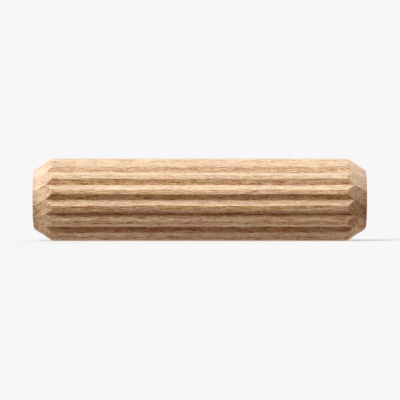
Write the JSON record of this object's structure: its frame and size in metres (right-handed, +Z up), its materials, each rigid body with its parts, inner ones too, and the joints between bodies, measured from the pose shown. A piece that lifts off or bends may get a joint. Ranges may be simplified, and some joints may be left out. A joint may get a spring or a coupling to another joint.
{
  "type": "dowel pin",
  "caption": "Straight beech dowel pin with lengthwise glue grooves and a bevel of small flats at each end, for joining two boards in drilled holes.",
  "frame": {"origin": "centre of the pin, on its axis and halfway between the end faces", "axes": "+X along the pin's axis from one end face to the other, +Z up with a groove straight down, so the pin lies on two ribs; +Y across the pin"},
  "size_m": [0.04, 0.01, 0.01],
  "materials": {
    "beech": "matte"
  },
  "bodies": {
    "root": {"dowel_pin": "beech"}
  },
  "joints": []
}
